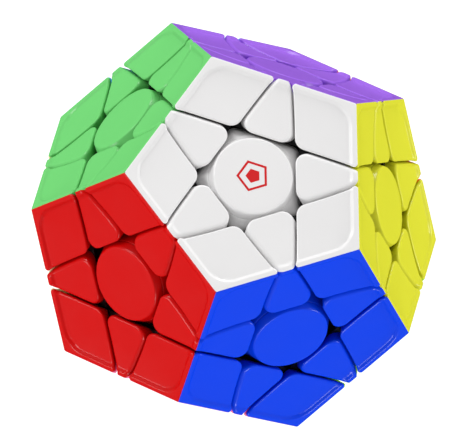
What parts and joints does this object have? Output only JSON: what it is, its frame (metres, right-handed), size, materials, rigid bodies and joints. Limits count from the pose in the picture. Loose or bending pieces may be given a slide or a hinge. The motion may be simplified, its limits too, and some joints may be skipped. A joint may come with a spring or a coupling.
{
  "type": "dodecahedron twisty puzzle",
  "caption": "Twelve-sided twisty puzzle: pentagonal faces cut into corners, edges and round centres, each colour a face, layers turning about a central ball.",
  "frame": {"origin": "centre of the puzzle, where the twelve turning axes meet", "axes": "+Z is the white face's axis, -Z the grey face's, on which it rests; +Y leans towards the purple face"},
  "size_m": [0.0776, 0.0816, 0.066],
  "materials": {
    "white_plastic": "satin",
    "yellow_plastic": "satin",
    "purple_plastic": "satin",
    "green_plastic": "satin",
    "red_plastic": "satin",
    "blue_plastic": "satin",
    "orange_plastic": "satin",
    "sky_plastic": "satin",
    "cream_plastic": "satin",
    "pink_plastic": "satin",
    "lime_plastic": "satin",
    "grey_plastic": "satin",
    "piece_plastic": "satin",
    "core_plastic": "matte",
    "steel": "satin"
  },
  "bodies": {
    "core_body": {"core": "core_plastic", "spindle_screws": "steel", "tension_springs": "steel", "spring_washers": "steel", "fixed_edges": "piece_plastic", "fixed_corners": "piece_plastic"},
    "white_layer": {"white_centre_hub": "white_plastic", "white_centre_cap": "white_plastic", "corner_white_blue_yellow": "piece_plastic", "corner_white_green_red": "piece_plastic", "corner_white_purple_green": "piece_plastic", "corner_white_red_blue": "piece_plastic", "corner_white_yellow_purple": "piece_plastic", "edge_white_blue": "piece_plastic", "edge_white_green": "piece_plastic", "edge_white_purple": "piece_plastic", "edge_white_red": "piece_plastic", "edge_white_yellow": "piece_plastic"},
    "yellow_centre": {"yellow_centre_hub": "yellow_plastic", "yellow_centre_cap": "yellow_plastic"},
    "purple_centre": {"purple_centre_hub": "purple_plastic", "purple_centre_cap": "purple_plastic"},
    "green_centre": {"green_centre_hub": "green_plastic", "green_centre_cap": "green_plastic"},
    "red_centre": {"red_centre_hub": "red_plastic", "red_centre_cap": "red_plastic"},
    "blue_centre": {"blue_centre_hub": "blue_plastic", "blue_centre_cap": "blue_plastic"},
    "orange_layer": {"orange_centre_hub": "orange_plastic", "orange_centre_cap": "orange_plastic", "corner_orange_grey_sky": "piece_plastic", "corner_orange_lime_grey": "piece_plastic", "corner_purple_orange_sky": "piece_plastic", "corner_yellow_lime_orange": "piece_plastic", "corner_yellow_orange_purple": "piece_plastic", "edge_orange_grey": "piece_plastic", "edge_orange_lime": "piece_plastic", "edge_orange_sky": "piece_plastic", "edge_purple_orange": "piece_plastic", "edge_yellow_orange": "piece_plastic"},
    "sky_centre": {"sky_centre_hub": "sky_plastic", "sky_centre_cap": "sky_plastic"},
    "cream_centre": {"cream_centre_hub": "cream_plastic", "cream_centre_cap": "cream_plastic"},
    "pink_layer": {"pink_centre_hub": "pink_plastic", "pink_centre_cap": "pink_plastic", "corner_blue_pink_lime": "piece_plastic", "corner_cream_grey_pink": "piece_plastic", "corner_pink_grey_lime": "piece_plastic", "corner_red_cream_pink": "piece_plastic", "corner_red_pink_blue": "piece_plastic", "edge_blue_pink": "piece_plastic", "edge_cream_pink": "piece_plastic", "edge_pink_grey": "piece_plastic", "edge_pink_lime": "piece_plastic", "edge_red_pink": "piece_plastic"},
    "lime_centre": {"lime_centre_hub": "lime_plastic", "lime_centre_cap": "lime_plastic"},
    "grey_centre": {"grey_centre_hub": "grey_plastic", "grey_centre_cap": "grey_plastic"}
  },
  "joints": [
    {"name": "white_layer_turn", "type": "hinge", "parent": "core_body", "child": "white_layer", "pos_m": [0, 0, 0], "axis": [0, 0, 1], "continuous": true},
    {"name": "yellow_centre_turn", "type": "hinge", "parent": "core_body", "child": "yellow_centre", "pos_m": [0, 0, 0], "axis": [0.8507, 0.2764, 0.4472], "continuous": true},
    {"name": "purple_centre_turn", "type": "hinge", "parent": "core_body", "child": "purple_centre", "pos_m": [0, 0, 0], "axis": [0, 0.8944, 0.4472], "continuous": true},
    {"name": "green_centre_turn", "type": "hinge", "parent": "core_body", "child": "green_centre", "pos_m": [0, 0, 0], "axis": [-0.8507, 0.2764, 0.4472], "continuous": true},
    {"name": "red_centre_turn", "type": "hinge", "parent": "core_body", "child": "red_centre", "pos_m": [0, 0, 0], "axis": [-0.5257, -0.7236, 0.4472], "continuous": true},
    {"name": "blue_centre_turn", "type": "hinge", "parent": "core_body", "child": "blue_centre", "pos_m": [0, 0, 0], "axis": [0.5257, -0.7236, 0.4472], "continuous": true},
    {"name": "orange_layer_turn", "type": "hinge", "parent": "core_body", "child": "orange_layer", "pos_m": [0, 0, 0], "axis": [0.5257, 0.7236, -0.4472], "continuous": true},
    {"name": "sky_centre_turn", "type": "hinge", "parent": "core_body", "child": "sky_centre", "pos_m": [0, 0, 0], "axis": [-0.5257, 0.7236, -0.4472], "continuous": true},
    {"name": "cream_centre_turn", "type": "hinge", "parent": "core_body", "child": "cream_centre", "pos_m": [0, 0, 0], "axis": [-0.8507, -0.2764, -0.4472], "continuous": true},
    {"name": "pink_layer_turn", "type": "hinge", "parent": "core_body", "child": "pink_layer", "pos_m": [0, 0, 0], "axis": [0, -0.8944, -0.4472], "continuous": true},
    {"name": "lime_centre_turn", "type": "hinge", "parent": "core_body", "child": "lime_centre", "pos_m": [0, 0, 0], "axis": [0.8507, -0.2764, -0.4472], "continuous": true},
    {"name": "grey_centre_turn", "type": "hinge", "parent": "core_body", "child": "grey_centre", "pos_m": [0, 0, 0], "axis": [0, 0, -1], "continuous": true}
  ]
}
